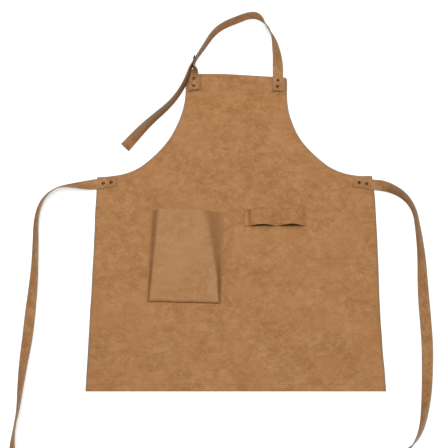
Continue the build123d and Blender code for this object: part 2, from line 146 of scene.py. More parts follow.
class Paint:
    """A material while it is being built."""

    def __init__(self, name):
        self.material = bpy.data.materials.new(name)
        self.material.use_nodes = True
        self.tree = self.material.node_tree
        self.tree.nodes.clear()

    def node(self, kind, settings, inputs, output=0):
        """Adds a node: settings first, then values or links of its sockets, and returns one of its outputs."""
        made = self.tree.nodes.new(kind)
        for name, value in settings.items():
            setattr(made, name, value)
        for name, value in inputs.items():
            if isinstance(value, Value):
                self.tree.links.new(value.socket, made.inputs[name])
            else:
                made.inputs[name].default_value = value
        return Value(self, made.outputs[output]) if made.outputs else None

    def attribute(self, name, output="Vector"):
        return self.node("ShaderNodeAttribute", {"attribute_name": name}, {}, output)

    def noise(self, where, scale, detail=3.0, roughness=0.55, distortion=0.0):
        sizes = {"Vector": where, "Scale": scale, "Detail": detail, "Roughness": roughness, "Distortion": distortion}
        return self.node("ShaderNodeTexNoise", {}, sizes)

    def step(self, value, low, high):
        """0 below low, 1 above high, and smooth between."""
        limits = {"Value": value, "From Min": low, "From Max": high}
        return self.node("ShaderNodeMapRange", {"interpolation_type": "SMOOTHSTEP"}, limits)

    def mix(self, share, first, second):
        return self.node("ShaderNodeMix", {"data_type": "RGBA"}, {0: share, 6: first, 7: second}, 2)

    def finish(self, colour, roughness, height=None, depth=0.0, **fixed):
        """Closes the material with a Principled shader; height and depth in metres give it a bump."""
        inputs = {"Base Color": colour, "Roughness": roughness}
        inputs.update({name.replace("_", " "): value for name, value in fixed.items()})
        if height is not None:
            bump = {"Strength": 1.0, "Distance": depth, "Height": height}
            inputs["Normal"] = self.node("ShaderNodeBump", {}, bump)
        surface = self.node("ShaderNodeBsdfPrincipled", {}, inputs, "BSDF")
        self.node("ShaderNodeOutputMaterial", {}, {"Surface": surface})
        return self.material


def hue(red, green, blue):
    """A colour given as screen values from 0 to 255, as the linear colour that nodes use."""
    def linear(part):
        share = part / 255
        return share / 12.92 if share <= 0.04045 else ((share + 0.055) / 1.055) ** 2.4
    return linear(red), linear(green), linear(blue), 1.0


print("tan leather is", [round(part, 3) for part in hue(178, 128, 83)])

# %% [markdown]
# ## Leather
# Oiled leather is never one colour: wax moves in the hide where it was folded, and leaves cloudy patches a few
# centimetres wide, smaller flecks, and a paler bloom. The grain is a fine pebble. A cut edge is raw and greyer. The
# pattern reads an attribute, cut, that holds each point's place on the flat hide, so it stays put when a strap
# bends. A second attribute, rim, is 1 on a cut edge and fades inwards. A third, tone, is painted shade: it darkens
# the hide on the pocket's flanks, in the gaps under the tool loops, along their seams and on straps that stand on
# their edge. Round the riveted strap ends it is painted contact shadow and an oil mark together.

# %% Leather
# The deep brown that tone mixes in: painted shade, and round the riveted strap ends painted contact shadow with an oil
# mark.
PAINTED_SHADE_AND_STAIN = (112, 70, 26)
CUT_EDGE = (146, 130, 108)
GRAIN_STRETCH = (0.85, 1.15, 1.0)


def leather(name, pale, deep, warm, grain=0.00010, rough=0.66):
    paint = Paint(name)
    cut = paint.attribute("cut")
    rim = paint.attribute("rim", "Fac")
    tone = paint.attribute("tone", "Fac")
    grain_way = paint.node("ShaderNodeVectorMath", {"operation": "MULTIPLY"}, {0: cut, 1: GRAIN_STRETCH})
    clouds = paint.step(paint.noise(cut, 15.0, 3.0, 0.55, 0.2), 0.36, 0.66)
    patches = paint.step(paint.noise(grain_way, 60.0, 5.0, 0.70, 0.35), 0.38, 0.64)
    flecks = paint.step(paint.noise(grain_way, 210.0, 3.0, 0.65), 0.38, 0.66)
    bloom = paint.step(paint.noise(cut, 12.0, 3.0, 0.55, 0.3), 0.46, 0.68)
    mottle = clouds * 0.24 + patches * 0.46 + flecks * 0.30
    colour = paint.mix(mottle, hue(*deep), hue(*pale))
    colour = paint.mix(bloom * 0.5, colour, hue(*warm))
    # Painted shade: tone pulls the colour towards the deep brown.
    colour = paint.mix(tone * 0.9, colour, hue(*PAINTED_SHADE_AND_STAIN))
    colour = paint.mix(paint.step(rim, 0.1, 0.9) * 0.8, colour, hue(*CUT_EDGE))
    cells = {"Vector": cut, "Scale": 620.0, "Randomness": 0.95}
    pebble = paint.node("ShaderNodeTexVoronoi", {"feature": "F1"}, cells, "Distance")
    creases = paint.noise(cut, 120.0, 6.0, 0.7, 1.5)
    height = pebble * 0.5 + creases * 0.9 + flecks * 0.2
    return paint.finish(colour, rough + patches * 0.10 - clouds * 0.05, height, grain, Specular_IOR_Level=0.16)


body_leather = leather("body_leather", (184, 136, 90), (152, 104, 57), (176, 122, 78))
pocket_leather = leather("pocket_leather", (183, 138, 97), (162, 115, 72), (176, 130, 90))
strap_leather = leather("strap_leather", (184, 138, 94), (140, 98, 60), (164, 112, 70), grain=0.00014)
print("leathers:", body_leather.name, pocket_leather.name, strap_leather.name)

# %% [markdown]
# ## Backing, cut edge, thread and metals
# The hide's back is brushed to a grey beige nap, and the cut edge shows the same fibre. Thread is waxed polyester in
# the leather's tone. The rivets are antique brass, rubbed bright in patches at random, and the buckle is dark nickel.

# %% Other materials
def fibre(name, pale, deep, scale, depth):
    paint = Paint(name)
    cut = paint.attribute("cut")
    nap = paint.noise(cut, scale, 5.0, 0.7)
    shade = paint.step(paint.noise(cut, 25.0, 3.0, 0.5), 0.35, 0.65)
    colour = paint.mix(paint.step(nap, 0.3, 0.7) * 0.6 + shade * 0.4, hue(*deep), hue(*pale))
    return paint.finish(colour, 0.9, nap, depth, Specular_IOR_Level=0.15)


backing = fibre("hide_backing", (158, 136, 108), (128, 102, 76), 700.0, 0.00012)
raw_edge = fibre("raw_edge", (172, 158, 134), (130, 114, 92), 500.0, 0.00015)
# The loops' underside is a near-black brown: painted shade inside the arches, where little light reaches.
loop_lining = fibre("loop_lining", (74, 48, 28), (48, 30, 16), 700.0, 0.00012)


def waxed_thread():
    paint = Paint("waxed_thread")
    where = paint.node("ShaderNodeTexCoord", {}, {}, "Object")
    twist = paint.noise(where, 900.0, 2.0)
    colour = paint.mix(paint.step(twist, 0.35, 0.65), hue(128, 88, 50), hue(156, 110, 66))
    return paint.finish(colour, 0.6, twist, 0.00008, Sheen_Weight=0.2)


def worn_metal(name, dark, bright, metal_rough):
    paint = Paint(name)
    where = paint.node("ShaderNodeTexCoord", {}, {}, "Object")
    tarnish = paint.noise(where, 260.0, 5.0, 0.65)
    scratches = paint.noise(where, 1400.0, 2.0, 0.5)
    worn = paint.step(tarnish, 0.42, 0.62)
    colour = paint.mix(worn, hue(*dark), hue(*bright))
    return paint.finish(colour, metal_rough + tarnish * 0.2, scratches, 0.00002, Metallic=1.0)


thread_finish = waxed_thread()
antique_brass = worn_metal("antique_brass", (52, 30, 18), (150, 104, 70), 0.2)
dark_nickel = worn_metal("dark_nickel", (58, 52, 50), (112, 102, 96), 0.26)


def table_white():
    paint = Paint("table_white")
    where = paint.node("ShaderNodeTexCoord", {}, {}, "Object")
    colour = paint.mix(paint.noise(where, 3.0) * 0.5, (0.60, 0.60, 0.60, 1.0), (0.64, 0.64, 0.64, 1.0))
    glow = {"Emission_Color": (1.0, 1.0, 1.0, 1.0), "Emission_Strength": 0.60}
    return paint.finish(colour, 0.9, None, 0.0, Specular_IOR_Level=0.1, **glow)


table_mesh.materials.append(table_white())
print("materials:", len(bpy.data.materials))

# %% [markdown]
# ## Building meshes
# Most pieces here are strips: a row of points across, repeated along. One helper turns rows of points into a mesh,
# stores the cut, rim and tone attributes, and gives each face a material. Another adds the thickness of the leather
# with a Solidify modifier and turns the result into a plain mesh at once, and a third makes a sheet that is sewn on.

# %% Mesh helpers
def smooth(low, high, value):
    share = max(0.0, min(1.0, (value - low) / (high - low)))
    return share * share * (3 - 2 * share)


def piece(name, vertices, faces, materials, cut=None, rim=None, face_material=None, tone=None):
    mesh = bpy.data.meshes.new(name)
    mesh.from_pydata([tuple(v) for v in vertices], [], faces)
    for material in materials:
        mesh.materials.append(material)
    cut = cut or vertices
    mesh.attributes.new("cut", "FLOAT_VECTOR", "POINT").data.foreach_set("vector", [c for v in cut for c in v])
    for label, values in (("rim", rim), ("tone", tone)):
        mesh.attributes.new(label, "FLOAT", "POINT").data.foreach_set("value", values or [0.0] * len(vertices))
    if face_material:
        mesh.polygons.foreach_set("material_index", face_material)
    mesh.polygons.foreach_set("use_smooth", [True] * len(mesh.polygons))
    made = bpy.data.objects.new(name, mesh)
    scene.collection.objects.link(made)
    return made


def grid_faces(rows, columns, closed=False):
    reach = columns if closed else columns - 1
    around = [(c, (c + 1) % columns) for c in range(reach)]
    return [
        (r * columns + a, r * columns + b, (r + 1) * columns + b, (r + 1) * columns + a)
        for r in range(rows - 1)
        for a, b in around
    ]


def thicken(made, thickness):
    """Gives a sheet its thickness: the face stays, the back lies below it, and the rim gets the edge material."""
    solid = made.modifiers.new("thickness", "SOLIDIFY")
    solid.thickness = thickness
    solid.offset = -1.0
    solid.use_even_offset = True
    solid.use_rim = True
    solid.material_offset = 2
    solid.material_offset_rim = 1
    bpy.context.view_layer.update()
    result = bpy.data.meshes.new_from_object(made.evaluated_get(bpy.context.evaluated_depsgraph_get()))
    old = made.data
    made.modifiers.clear()
    made.data = result
    result.name = old.name
    bpy.data.meshes.remove(old)
    print(made.name, "has", len(result.polygons), "faces")


def sewn_sheet(name, rows, cloth, patch, materials):
    """A sheet that is sewn on the hide. Each row lists (point, y on the flat sheet, rim, tone) in millimetres, and
    patch moves it to a place of its own in the pattern of the leather."""
    points, cut, rim, tone = [], [], [], []
    for row in rows:
        run, before = 0.0, row[0][0]
        for point, y, edge, dark in row:
            run += (point - before).length
            before = point
            points.append(point * MM)
            cut.append(Vector((run + patch[0], y, patch[1])) * MM)
            rim.append(edge)
            tone.append(dark)
    made = piece(name, points, grid_faces(len(rows), len(rows[0])), materials, cut, rim, tone=tone)
    thicken(made, cloth * MM)
    return made


print("helpers ready")

# %% [markdown]
# ## How the apron lies
# A soft hide never lies quite flat. One function says how much it stands off the table at any place, and everything
# that is sewn on it asks the same function, so nothing floats or sinks. Under the rivets and the bib it lies down.

# %% The lie of the hide
HALF_WIDTH = 322.5
HEM_FLARE = 3.5
HALF_HEIGHT = 375.5
HALF_BIB = 122.0
WAIST_Y = 113.5
ARMHOLE_TOP = 340.0
CLOTH = 1.6
HEM_RISE = 1.4
BIB_HEM = 20.0
BOTTOM_HEM = 16.0
BIB_FACE = CLOTH + HEM_RISE


def lie(x, y):
    """How far the hide stands off the table, in millimetres, at a place in millimetres."""
    swell = noise.noise(Vector((x / 150 + 3.1, y / 210 + 1.7, 0.4)))
    ripple = noise.noise(Vector((x / 62 + 8.0, y / 95 + 2.0, 2.7)))
    height = 1.5 + 1.6 * swell + 0.55 * ripple
    fade = 1 - smooth(290.0, 335.0, y)
    fade *= 1 - smooth(235.0, 270.0, abs(x)) * smooth(60.0, 85.0, y)
    return max(0.0, height) * fade


# Where the knife left the pattern's line: x, y, reach along x and along y, and the shift, all in millimetres.
CUT_SHIFTS = [
    (-322.0, -60.0, 120.0, 230.0, 2.8, 0.0),
    (322.0, -215.0, 120.0, 110.0, -3.2, 0.0),
    (122.0, 360.0, 50.0, 65.0, 4.2, 0.0),
    (-122.0, 330.0, 50.0, 80.0, 5.0, 0.0),
    (-235.0, 132.0, 50.0, 36.0, 2.0, -5.0),
    (230.0, 135.0, 50.0, 36.0, -2.0, -5.0),
    (322.5, 113.5, 26.0, 30.0, -3.2, 4.8),
    (-322.5, 113.5, 24.0, 24.0, 1.0, 1.6),
]
BIB_TILT = 0.068


def hand_cut(x, y):
    """Moves a place on the pattern to where it is on the hide, which was cut by hand."""
    move_x = move_y = 0.0
    for centre_x, centre_y, reach_x, reach_y, shift_x, shift_y in CUT_SHIFTS:
        weight = math.exp(-((x - centre_x) / reach_x) ** 2 - ((y - centre_y) / reach_y) ** 2)
        move_x += shift_x * weight
        move_y += shift_y * weight
    move_y += (2.6 - BIB_TILT * max(0.0, x + 25.0)) * smooth(280.0, 372.0, y)
    return x + move_x, y + move_y


print("the hide stands off by", [round(lie(x, 0), 2) for x in (-250, -100, 0, 100, 250)])

# %% [markdown]
# ## The body panel
# The real panel is one hide cut in the bib shape, with its top and bottom edges turned over and sewn. It could be a
# flat outline filled with one face, but then it could not ripple. So it is built as rows across: each row reaches
# from armhole to armhole, and the armhole is the same Bezier curve as in the frame.

# %% Body panel
ARMHOLE = [
    Vector((HALF_BIB, ARMHOLE_TOP)),
    Vector((HALF_BIB, ARMHOLE_TOP - 160.0)),
    Vector((HALF_WIDTH - 95.0, WAIST_Y + 9.5)),
    Vector((HALF_WIDTH, WAIST_Y)),
]


def armhole_point(t):
    weights = (1 - t) ** 3, 3 * t * (1 - t) ** 2, 3 * t ** 2 * (1 - t), t ** 3
    return sum((w * p for w, p in zip(weights, ARMHOLE)), Vector((0.0, 0.0)))


def skirt_half(y):
    return HALF_WIDTH + HEM_FLARE * (WAIST_Y - y) / (WAIST_Y + HALF_HEIGHT)


hem_rows = [0.0, 0.7, 2.0, 4.5, BOTTOM_HEM - 3.0, BOTTOM_HEM - 0.8, BOTTOM_HEM + 0.4, BOTTOM_HEM + 2.0]
outline_rows = [(skirt_half(row - HALF_HEIGHT), row - HALF_HEIGHT) for row in hem_rows]
SKIRT_ROWS = 54
first_row = outline_rows[-1][1]
for i in range(1, SKIRT_ROWS):
    y = first_row + (WAIST_Y - first_row) * i / SKIRT_ROWS
    outline_rows.append((skirt_half(y), y))
outline_rows += [(skirt_half(y), y) for y in (-6.5, -5.2, -4.0, -2.8, -1.6, 2.5)]
outline_rows.sort(key=lambda row: row[1])
ARMHOLE_ROWS = 60
outline_rows += [tuple(armhole_point(1 - i / ARMHOLE_ROWS)) for i in range(ARMHOLE_ROWS)]
bib_rows = [35.5, 30.0, 24.0, BIB_HEM + 1.6, BIB_HEM + 0.4, BIB_HEM - 0.8, 14.0, 8.0, 5.5, 3.6, 2.0, 0.9, 0.3, 0.0]
CORNER = 7.0


def corner_inset(row):
    """How far a rounded corner has drawn in at a distance from the top edge."""
    return CORNER - math.sqrt(CORNER ** 2 - max(0.0, CORNER - row) ** 2)


outline_rows += [(HALF_BIB - corner_inset(row), HALF_HEIGHT - row) for row in bib_rows]


def panel_face(y):
    """Height of the panel's face over its own back: the turned hems are one layer thicker and round at the fold."""
    bottom = 1 - smooth(BOTTOM_HEM - 2.5, BOTTOM_HEM + 3.0, y + HALF_HEIGHT)
    top = 1 - smooth(BIB_HEM - 4.0, BIB_HEM + 5.0, HALF_HEIGHT - y)
    from_fold = min(y + HALF_HEIGHT, HALF_HEIGHT - y)
    fold = 1 - math.sqrt(max(0.0, 1 - (1 - min(1.0, from_fold / 2.0)) ** 2))
    return CLOTH + HEM_RISE * max(bottom, top) - 1.6 * fold


RIVETED_ENDS = [(104.0, 326.0), (-98.0, 328.0)]    # middle and foot of each strap end on the bib


def painted_shade_and_oil_mark(x, y):
    """Painted shade on the hide: in the gaps under the tool loops, and round the riveted strap ends, where it is
    painted contact shadow and an oil mark together.
    """
    loops = smooth(26.0, 34.0, x) * (1 - smooth(152.0, 160.0, x)) * smooth(-4.1, -2.6, y) * (1 - smooth(24.0, 30.0, y))
    strap_end = max(
        max(0.0, 1 - abs(abs(x - middle) - 14.0) / 4.5) * smooth(foot, foot + 6.0, y) for middle, foot in RIVETED_ENDS
    )
    return max(loops, 0.6 * strap_end)


COLUMNS = 113
panel_points, panel_tone = [], []
for half, y in outline_rows:
    for share in (1 - (2 * c / (COLUMNS - 1)) for c in range(COLUMNS)):
        x = -half * share
        wander = 0.8 * noise.noise(Vector((y / 45, share * 3, 5.0))) * smooth(0.9, 1.0, abs(share))
        x += wander * (1 if x > 0 else -1)
        panel_points.append(Vector((*hand_cut(x, y), panel_face(y) + lie(x, y))))
        panel_tone.append(painted_shade_and_oil_mark(x, y))


def edge_distance(point, line):
    """Distance in the table's plane from a point to a line of points."""
    best = 1e9
    for a, b in zip(line, line[1:]):
        if abs(point.y - a.y) > best + abs(b.y - a.y):
            continue
        run = b - a
        along = max(0.0, min(1.0, (point.xy - a).dot(run) / max(run.length_squared, 1e-9)))
        best = min(best, (point.xy - a - run * along).length)
    return best


edges = {sign: [Vector(hand_cut(sign * h, y)) for h, y in outline_rows] for sign in (-1, 1)}
RIM_WIDTH = 5.5
rim_values = []
for i, point in enumerate(panel_points):
    near = edge_distance(point, edges[1 if point.x > 0 else -1])
    near = min(near, HALF_HEIGHT - outline_rows[i // COLUMNS][1])
    rim_values.append(max(0.0, 1 - near / RIM_WIDTH))
panel_metres = [p * MM for p in panel_points]
body_panel = piece(
    "body_panel_hide",
    panel_metres,
    grid_faces(len(outline_rows), COLUMNS),
    [body_leather, raw_edge, backing],
    cut=panel_metres,
    rim=rim_values,
    tone=panel_tone,
)
thicken(body_panel, CLOTH * MM)

# %% [markdown]
# ## Flat straps that roll as they go
# The neck strap and the two waist ties are flat leather straps, 25 mm wide. Where they leave the apron they are
# flat, and then they turn onto their edge and lie in loose curves. A bevelled curve would do for a round cord, but
# a flat strap has to roll by a set amount at each place. So the strap's middle line is a NURBS curve with the
# route's points as its control points, and a second NURBS curve carries the roll in degrees in the same rhythm.
# Each route point is x, y, roll and, where it isn't the usual one, the height that the strap's lower edge rests on, in
# millimetres and degrees.

# %% Strap maker
STRAP_WIDTH = 25.0
HALF_STRAP = STRAP_WIDTH / 2
STRAP_THICKNESS = 2.4
SPLINE_STEPS = 7
REST = 0.6                 # a strap's lower edge stays this far above the table, unless its stop says otherwise


def spline_points(controls):
    """The points of a NURBS curve that has these control points."""
    curve = bpy.data.curves.new("route", "CURVE")
    curve.dimensions = "3D"
    curve.resolution_u = SPLINE_STEPS
    spline = curve.splines.new("NURBS")
    spline.points.add(len(controls) - 1)
    for point, place in zip(spline.points, controls):
        point.co = (*place, 1.0)
    spline.order_u = 3
    spline.use_endpoint_u = True
    holder = bpy.data.objects.new("route", curve)
    scene.collection.objects.link(holder)
    mesh = bpy.data.meshes.new_from_object(holder)
    points = [v.co.copy() for v in mesh.vertices]
    bpy.data.objects.remove(holder)
    bpy.data.curves.remove(curve)
    bpy.data.meshes.remove(mesh)
    return points


# One section of the strap, seen along it: across, up, and whether that point lies on the rim.
FACE_SIDE = [(-12.0, 1.12, 0.6), (-10.8, 1.2, 0.15), (-8.0, 1.2, 0.0), (0.0, 1.2, 0.0), (6.5, 1.2, 0.0)]
FACE_SIDE += [(9.0, 1.2, 0.15), (10.8, 1.2, 0.45), (12.0, 1.12, 0.85)]
EDGE_SIDE = [(12.45, 0.7, 1.0), (12.5, 0.0, 1.0), (12.45, -0.7, 1.0)]
BACK_SIDE = [(12.0, -1.15, 0.8), (6.0, -1.2, 0.0), (0.0, -1.2, 0.0), (-6.0, -1.2, 0.0), (-12.0, -1.15, 0.8)]
OTHER_SIDE = [(-12.45, -0.7, 1.0), (-12.5, 0.0, 1.0), (-12.45, 0.7, 1.0)]
SECTION = FACE_SIDE + EDGE_SIDE + BACK_SIDE + OTHER_SIDE
SECTION_SLOTS = [0] * (len(FACE_SIDE) - 1) + [1] * (len(EDGE_SIDE) + 1)
SECTION_SLOTS += [2] * (len(BACK_SIDE) - 1) + [1] * (len(OTHER_SIDE) + 1)


def between(stations, place):
    """Reads a list of (place, value) at a place, in straight steps."""
    for (a, value_a), (b, value_b) in zip(stations, stations[1:]):
        if place <= b:
            return value_a + (value_b - value_a) * (place - a) / (b - a)
    return stations[-1][1]


def strap_height(roll, ground):
    turn = math.radians(roll)
    return ground + HALF_STRAP * abs(math.sin(turn)) + STRAP_THICKNESS / 2 * abs(math.cos(turn))


def flat_strap(name, route, seed, dark, pale):
    """Returns the strap and its middle line. Its face is up at roll 0, and turns to the left of the way at +90.
    dark and pale list places along the strap, from 0 to 1, and how dark the face and how pale the upper edge are
    where it stands on its edge."""
    stops = [(*stop, REST)[:4] for stop in route]
    middle = spline_points([(x * MM, y * MM, strap_height(roll, ground) * MM) for x, y, roll, ground in stops])
    rolls = [p.x for p in spline_points([(roll, 0.0, 0.0) for _, _, roll, _ in stops])]
    vertices, cut, rim, tone = [], [], [], []
    travelled = 0.0
    for i, (place, roll) in enumerate(zip(middle, rolls)):
        ahead = (middle[min(i + 1, len(middle) - 1)] - middle[max(i - 1, 0)]).normalized()
        travelled += (place - middle[i - 1]).length if i else 0.0
        left = Vector((0, 0, 1)).cross(ahead).normalized()
        turn = math.radians(roll)
        face = (left.cross(ahead) * -math.cos(turn) + left * math.sin(turn)).normalized()
        across = ahead.cross(face)
        share = i / (len(middle) - 1)
        on_edge = abs(math.sin(turn))
        # Painted shade: where the strap stands on its edge, its face is darkened, most on its lower half.
        painted_shade = between(dark, share) * smooth(0.35, 1.0, on_edge)
        paleness = between(pale, share) * smooth(0.45, 1.0, on_edge)
        free = 0.3 + 0.7 * smooth(0.045, 0.065, travelled)
        cup = 0.35 * noise.noise(Vector((travelled / 0.05, seed, 0.0)))
        fray = 0.25 * noise.noise(Vector((travelled / 0.02, seed, 9.0)))
        for u, v, edge in SECTION:
            upper = math.copysign(u, u * turn)
            bow = cup * (1 - (u / HALF_STRAP) ** 2)
            vertices.append(place + (across * (u + math.copysign(fray, u)) + face * (v + bow)) * MM)
            cut.append(Vector((travelled, u * MM + seed, v * MM)))
            rim.append(max(edge * free, paleness * smooth(-3.0, 7.0, upper)) if v > 1.0 else 1.0)
            tone.append(painted_shade * smooth(6.0, -6.0, upper))
    count = len(SECTION)
    faces = grid_faces(len(middle), count, closed=True)
    slots = [SECTION_SLOTS[i % count] for i in range(len(faces))]
    last = (len(middle) - 1) * count
    faces += [tuple(reversed(range(count))), tuple(range(last, last + count))]
    slots += [1, 1]
    made = piece(name, vertices, faces, [strap_leather, raw_edge, backing], cut, rim, slots, tone)
    outward(made)
    print(name, "is", round(travelled, 3), "m long, with", len(faces), "faces")
    return made, middle


def outward(made):
    shell = bmesh.new()
    shell.from_mesh(made.data)
    bmesh.ops.recalc_face_normals(shell, faces=shell.faces)
    shell.to_mesh(made.data)
    shell.free()


# %% [markdown]
# ## The waist ties
# Each tie starts as a patch riveted to the waist corner, comes off the edge of the hide, rolls onto its edge and
# runs down beside the apron. Both ties get the usual length of 0.9 m.

# %% Waist ties
LEFT_TIE_ROUTE = [
    (-274.3, 104.9, 0, CLOTH), (-290.0, 102.4, 0, CLOTH), (-307.0, 99.7, 0, CLOTH), (-324.7, 97.0, 0, CLOTH),
    (-340.0, 94.6, -15, 1.5), (-360.0, 92.8, -38), (-384.0, 91.5, -58), (-410.0, 87.5, -70),
    (-434.0, 69.5, -62), (-448.0, 44.0, -57), (-454.0, 8.0, -56), (-452.0, -40.0, -50), (-450.5, -95.0, -43),
    (-452.0, -150.0, -28), (-455.5, -205.0, -12), (-458.0, -260.0, -14), (-463.0, -315.0, -32),
    (-465.5, -370.0, -50), (-467.0, -415.0, -66), (-473.0, -455.0, -72), (-475.0, -492.0, -54),
    (-473.0, -533.0, -36), (-467.0, -577.0, -16), (-462.0, -620.0, -5), (-459.0, -661.0, 0),
]
RIGHT_TIE_ROUTE = [
    (274.3, 104.0, 0, CLOTH), (290.0, 101.4, 0, CLOTH), (307.0, 98.6, 0, CLOTH), (324.7, 95.6, 0, CLOTH),
    (338.0, 92.6, -30, 1.2), (356.0, 86.5, -52), (380.0, 73.5, -67), (399.5, 53.0, -80), (411.0, 27.0, -84),
    (414.5, -5.0, -79), (417.5, -42.0, -70), (419.3, -85.0, -57), (418.6, -130.0, -42), (419.2, -175.0, -26),
    (420.8, -225.0, -16), (421.0, -275.0, -24), (417.5, -325.0, -32), (413.0, -372.0, -44),
    (406.5, -412.0, -60), (399.0, -446.0, -76), (387.0, -474.0, -88), (369.0, -496.0, -103),
    (342.0, -512.0, -120), (308.0, -521.0, -145), (270.0, -524.0, -168), (230.0, -521.5, -180),
    (191.0, -517.5, -180), (174.0, -515.0, -180),
]
# Places along each tie, and how much shade is painted on its face where it stands on its edge.
TIE_PAINTED_SHADE = [(0.0, 0.9), (0.35, 0.6), (1.0, 0.4)]
TIE_PALE = [(0.0, 0.5), (1.0, 0.5)]
left_tie, left_line = flat_strap("left_tie_strap", LEFT_TIE_ROUTE, 1.0, TIE_PAINTED_SHADE, TIE_PALE)
right_tie, right_line = flat_strap("right_tie_strap", RIGHT_TIE_ROUTE, 2.0, TIE_PAINTED_SHADE, TIE_PALE)

# %% [markdown]
# ## The neck strap
# It is riveted to the bib's right corner, twists onto its edge, makes an arch above the bib, comes down through the
# buckle at the left corner and ends in a loose tail beside the armhole. It is one strap, so it is one mesh.

# %% Neck strap
HEEL = Vector((-97.0, 393.0))
STRAP_UP = Vector((0.486, 0.874))
STRAP_SIDE = Vector((STRAP_UP.y, -STRAP_UP.x))
BUCKLE_MIDDLE = 16.9
BUCKLED_GROUND = BUCKLE_MIDDLE - STRAP_WIDTH / 2
heel_strap = HEEL - STRAP_SIDE * 4.86
above_buckle = heel_strap + STRAP_UP * 30.0
in_buckle = heel_strap + STRAP_UP * 14.0
# Places along the neck strap, and how much shade is painted on its face where it stands on its edge.
NECK_PAINTED_SHADE = [(0.0, 0.1), (0.3, 0.2), (0.5, 0.3), (0.62, 0.8), (1.0, 0.8)]
NECK_PALE = [(0.0, 0.1), (0.48, 0.1), (0.6, 1.0), (1.0, 1.0)]
NECK_ROUTE = [
    (103.5, 331.5, 0, BIB_FACE), (103.7, 347.0, 0, BIB_FACE), (104.0, 364.0, 0, BIB_FACE),
    (104.2, 379.5, 0, BIB_FACE), (104.2, 398.0, 20, BIB_FACE), (102.0, 425.0, 45), (97.5, 452.0, 66),
    (90.0, 477.0, 98), (80.5, 499.5, 120), (69.5, 517.0, 92), (53.5, 529.5, 78), (31.0, 527.5, 78),
    (9.0, 517.5, 74), (-14.0, 508.0, 75), (-37.0, 494.5, 77), (-55.5, 475.0, 78), (-70.0, 449.5, 82, 2.5),
    (*above_buckle, 90, BUCKLED_GROUND), (*in_buckle, 90, BUCKLED_GROUND), (*heel_strap, 90, BUCKLED_GROUND),
    (-107.2, 381.5, 84, 5.0), (-110.6, 366.5, 78, 7.0), (-120.0, 344.5, 80, 3.5), (-136.0, 317.0, 80),
    (-158.0, 289.0, 77), (-194.0, 256.0, 67), (-227.0, 222.0, 50), (-257.0, 186.5, 28),
]
neck_strap, neck_line = flat_strap("neck_strap_leather", NECK_ROUTE, 3.0, NECK_PAINTED_SHADE, NECK_PALE)

# %% [markdown]
# ## The buckle tab
# The buckle hangs on a short strap that is folded double round its heel bar and riveted through both plies. It is
# one ribbon: up the front ply, round the bar, and down the back ply. The ribbon turns from lying flat on the bib to
# standing on its edge, as the buckle does. Round the bar its middle is cut out to let the prong through.

# %% Buckle tab
TAB_PLY = 1.7
TAB_FOOT_Y = 333.5
TAB_EDGE = Vector((-97.5, 374.0))
TAB_TURN_Y = 376.0
TAB_LEAN = 2.4             # the tab is drawn a little to the left before it turns
TAB_NECK = 5.0
BAR_RADIUS = 1.6
TAB_LANES = [-12.5, -11.7, -7.5, -2.4, 2.4, 7.5, 11.7, 12.5]
SLOT_LANE = 3


def tab_frame(y):
    """Middle, across and face directions of the folded tab at a height on the bib."""
    share = smooth(0.0, 1.0, (y - TAB_TURN_Y) / (HEEL.y - TAB_NECK - TAB_TURN_Y))
    turn = math.radians(90 * share)
    height = BIB_FACE * (1 - share) + BUCKLED_GROUND * share
    height += HALF_STRAP * math.sin(turn) + TAB_PLY * math.cos(turn)
    x = TAB_EDGE.x + share * (HEEL.x - TAB_EDGE.x) - TAB_LEAN * smooth(352.0, 376.0, y) * (1 - share)
    face = Vector((-math.sin(turn), 0, math.cos(turn)))
    return Vector((x, y, height)), Vector((0, 1, 0)).cross(face), face


FOOT_SLANT = 4.0           # the foot is cut a little askew
PLY_GAP = 0.05
TAB_STEPS = 16
tab_stations = []
heights = [TAB_FOOT_Y + (HEEL.y - TAB_FOOT_Y) * i / TAB_STEPS for i in range(TAB_STEPS + 1)]
for y in heights:
    middle, across, face = tab_frame(y)
    tab_stations.append((middle + face * (TAB_PLY / 2 + PLY_GAP), across, face))
RING_STEPS = 8
ring_middle, ring_across, ring_face = tab_frame(HEEL.y)
ring_radius = BAR_RADIUS + 0.06 + TAB_PLY / 2
for i in range(RING_STEPS + 1):
    turn = math.pi * i / RING_STEPS
    outwards = ring_face * math.cos(turn) + Vector((0, 1, 0)) * math.sin(turn)
    tab_stations.append((ring_middle + outwards * ring_radius, ring_across, outwards))
for y in reversed(heights):
    middle, across, face = tab_frame(y)
    tab_stations.append((middle - face * (TAB_PLY / 2 + PLY_GAP), across, -face))
tab_points, tab_cut, tab_rim = [], [], []
run = 0.0
for i, (middle, across, face) in enumerate(tab_stations):
    run += (middle - tab_stations[i - 1][0]).length if i else 0.0
    for lane in TAB_LANES:
        slant = Vector((0, FOOT_SLANT * lane / STRAP_WIDTH, 0)) * (1 - smooth(0.0, 12.0, middle.y - TAB_FOOT_Y))
        tab_points.append((middle + across * lane + face * TAB_PLY / 2 + slant) * MM)
        tab_cut.append(Vector((run, lane, 4000.0)) * MM)
        tab_rim.append(0.5 * smooth(10.5, 12.5, abs(lane)))
lanes = len(TAB_LANES)
first_slot = TAB_STEPS - 1
slot_rows = range(first_slot, len(tab_stations) - first_slot - 1)
tab_faces = [
    face
    for face in grid_faces(len(tab_stations), lanes)
    if not (face[0] % lanes == SLOT_LANE and face[0] // lanes in slot_rows)
]
buckle_tab = piece("buckle_tab_leather", tab_points, tab_faces, [strap_leather, raw_edge, backing], tab_cut, tab_rim)
thicken(buckle_tab, TAB_PLY * MM)

# %% [markdown]
# ## The pocket
# A patch pocket with fullness: it is wider than the place it is sewn to, so it stands up in a soft bulge that is
# highest at the mouth. The left side rises steeply beside its seam, and the right side in a long slope. It is a
# sheet of rows from the bottom seam to the mouth. Its height comes from two slopes, a crown and some slack folds.

